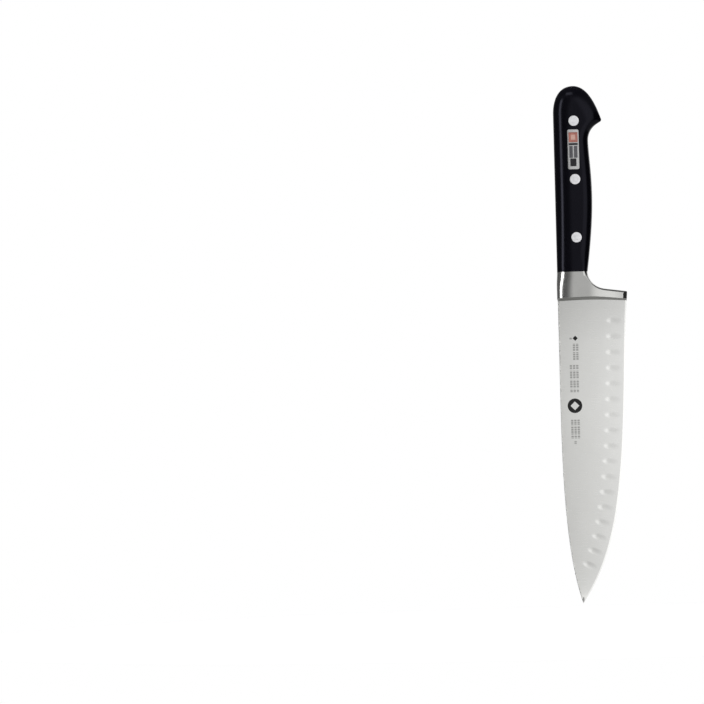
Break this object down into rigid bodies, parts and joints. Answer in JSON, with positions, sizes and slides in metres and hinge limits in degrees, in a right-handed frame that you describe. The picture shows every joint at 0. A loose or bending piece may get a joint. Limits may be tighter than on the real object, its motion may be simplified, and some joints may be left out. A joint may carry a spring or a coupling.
{
  "type": "chef's knife",
  "caption": "Forged kitchen knife with a hollow-ground blade, full bolster with finger guard, full tang and riveted black handle scales, hanging tip down against a flat holder.",
  "frame": {"origin": "point of the blade's back face that a flat holder, such as a magnetic bar, grips", "axes": "+Z from the blade's tip to the butt of the handle, +X from the spine to the cutting edge, +Y from the front face of the blade to the back face, towards the holder"},
  "size_m": [0.046, 0.0156, 0.3403],
  "materials": {
    "blade_steel": "satin ground stainless steel, bolster and tang polished finer",
    "handle_polymer": "polished black polymer",
    "rivet_steel": "bright steel, ground flush",
    "emblem_metal": "silvered plate with enamelled panels"
  },
  "bodies": {
    "root": {"forged_blade": "blade_steel", "front_scale": "handle_polymer", "back_scale": "handle_polymer", "rivet_sleeve_butt": "rivet_steel", "rivet_pin_butt": "rivet_steel", "rivet_sleeve_middle": "rivet_steel", "rivet_pin_middle": "rivet_steel", "rivet_sleeve_front": "rivet_steel", "rivet_pin_front": "rivet_steel", "emblem_plate": "emblem_metal"}
  },
  "joints": []
}
